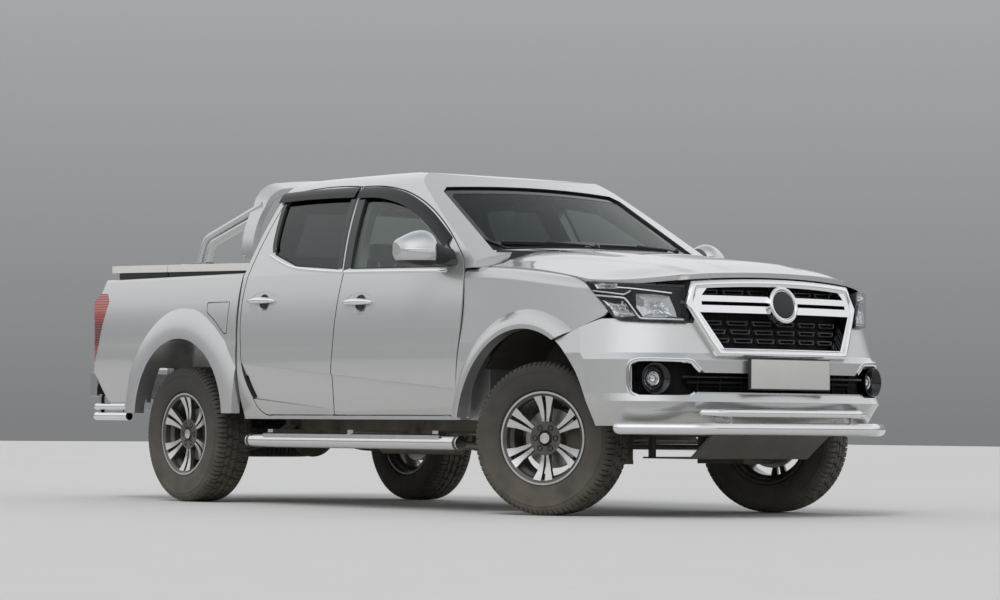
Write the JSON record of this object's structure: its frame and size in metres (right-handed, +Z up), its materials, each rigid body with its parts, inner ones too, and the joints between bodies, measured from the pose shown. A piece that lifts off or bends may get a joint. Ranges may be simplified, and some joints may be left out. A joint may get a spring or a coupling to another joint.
{
  "type": "double-cab pickup truck",
  "caption": "Four-door pickup truck with opening doors, hood, tailgate and load cover, steerable front wheels, sports bar, side steps and tube guards.",
  "frame": {"origin": "on the ground at the middle of the length and width", "axes": "+X forward, +Y to the truck's left, +Z up"},
  "size_m": [5.312, 2.208, 1.8359],
  "materials": {
    "paint": "silver metallic",
    "chrome": "polished",
    "steel_tube": "polished stainless",
    "black_trim": "satin black",
    "frame_black": "black chassis paint",
    "cast": "as cast",
    "engine_metal": "cast",
    "alloy": "machined with dark pockets",
    "tyre": "rubber",
    "glass": "clear, light green",
    "glass_dark": "tinted",
    "lamp_clear": "clear lamp",
    "lamp_red": "red lens",
    "cover": "light satin",
    "fabric": "dark seat cloth",
    "cabin": "dark cabin plastic",
    "exhaust": "dull",
    "skid": "dark"
  },
  "bodies": {
    "truck": {"chassis_frame": "frame_black", "cab_shell": "paint", "cab_glass": "glass", "fenders": "paint", "front_bumper": "paint", "intake_panel": "black_trim", "grille_frame": "chrome", "grille_mesh": "black_trim", "front_lamps": "lamp_clear", "front_guard": "steel_tube", "skid_plate": "skid", "load_bed": "paint", "tail_lamps": "lamp_red", "cover_front": "cover", "sports_bar": "steel_tube", "front_arms": "cast", "rear_axle": "cast", "engine": "engine_metal", "driveline": "engine_metal", "engine_bay": "frame_black", "inner_wings": "frame_black", "side_steps": "steel_tube", "rear_bumper": "chrome", "spare_wheel": "tyre", "fuel_tank": "black_trim", "exhaust": "exhaust", "seats": "fabric", "dashboard": "cabin"},
    "hood": {"hood": "paint"},
    "tailgate": {"tailgate": "paint"},
    "cover_rear": {"cover_rear": "cover"},
    "fuel_flap": {"fuel_flap": "paint"},
    "steering_link": {"steering_link": "cast"},
    "door_front_right": {"door_front_right": "paint", "glass_front_right": "glass", "mirror_right": "paint"},
    "door_rear_right": {"door_rear_right": "paint", "glass_rear_right": "glass_dark"},
    "knuckle_right": {"knuckle_right": "cast"},
    "wheel_front_right": {"tyre_front_right": "tyre", "rim_front_right": "alloy"},
    "wheel_rear_right": {"tyre_rear_right": "tyre", "rim_rear_right": "alloy"},
    "door_front_left": {"door_front_left": "paint", "glass_front_left": "glass", "mirror_left": "paint"},
    "door_rear_left": {"door_rear_left": "paint", "glass_rear_left": "glass_dark"},
    "knuckle_left": {"knuckle_left": "cast"},
    "wheel_front_left": {"tyre_front_left": "tyre", "rim_front_left": "alloy"},
    "wheel_rear_left": {"tyre_rear_left": "tyre", "rim_rear_left": "alloy"}
  },
  "joints": [
    {"name": "steer_right", "type": "hinge", "parent": "truck", "child": "knuckle_right", "pos_m": [1.69, -0.699, 0.382], "axis": [0, 0, 1], "range_deg": [-57, 9]},
    {"name": "spin_front_right", "type": "hinge", "parent": "knuckle_right", "child": "wheel_front_right", "pos_m": [1.72498, -0.77756, 0.382], "axis": [-0.4067, 0.9135, 0], "continuous": true},
    {"name": "spin_rear_right", "type": "hinge", "parent": "truck", "child": "wheel_rear_right", "pos_m": [-1.46, -0.785, 0.382], "axis": [0, 1, 0], "continuous": true},
    {"name": "door_front_right_hinge", "type": "hinge", "parent": "truck", "child": "door_front_right", "pos_m": [1.122, -0.895, 0.9], "axis": [0, 0, 1], "range_deg": [0, 68]},
    {"name": "door_rear_right_hinge", "type": "hinge", "parent": "truck", "child": "door_rear_right", "pos_m": [0.04, -0.896, 0.9], "axis": [0, 0, 1], "range_deg": [0, 70]},
    {"name": "steer_left", "type": "hinge", "parent": "truck", "child": "knuckle_left", "pos_m": [1.69, 0.699, 0.382], "axis": [0, 0, 1], "range_deg": [-57, 9]},
    {"name": "spin_front_left", "type": "hinge", "parent": "knuckle_left", "child": "wheel_front_left", "pos_m": [1.65502, 0.77756, 0.382], "axis": [-0.4067, 0.9135, 0], "continuous": true},
    {"name": "spin_rear_left", "type": "hinge", "parent": "truck", "child": "wheel_rear_left", "pos_m": [-1.46, 0.785, 0.382], "axis": [0, 1, 0], "continuous": true},
    {"name": "door_front_left_hinge", "type": "hinge", "parent": "truck", "child": "door_front_left", "pos_m": [1.122, 0.895, 0.9], "axis": [0, 0, -1], "range_deg": [0, 68]},
    {"name": "door_rear_left_hinge", "type": "hinge", "parent": "truck", "child": "door_rear_left", "pos_m": [0.04, 0.896, 0.9], "axis": [0, 0, -1], "range_deg": [0, 70]},
    {"name": "rack_slide", "type": "slide", "parent": "truck", "child": "steering_link", "axis": [0, 1, 0], "range_m": [-0.0205, 0.1235]},
    {"name": "hood_hinge", "type": "hinge", "parent": "truck", "child": "hood", "pos_m": [1.23, 0, 1.275], "axis": [0, -1, 0], "range_deg": [0, 45]},
    {"name": "tailgate_hinge", "type": "hinge", "parent": "truck", "child": "tailgate", "pos_m": [-2.536, 0, 0.824], "axis": [0, -1, 0], "range_deg": [0, 90]},
    {"name": "cover_hinge", "type": "hinge", "parent": "truck", "child": "cover_rear", "pos_m": [-1.79, 0, 1.35374], "axis": [0, 1, 0], "range_deg": [0, 85]},
    {"name": "fuel_flap_hinge", "type": "hinge", "parent": "truck", "child": "fuel_flap", "pos_m": [-1.016, -0.893, 1.03], "axis": [0, 0, 1], "range_deg": [0, 80]}
  ],
  "couplings": [
    {"joint": "steer_left", "follows": "steer_right", "ratio": 1},
    {"joint": "rack_slide", "follows": "steer_right", "m_per_rad": -0.123}
  ]
}
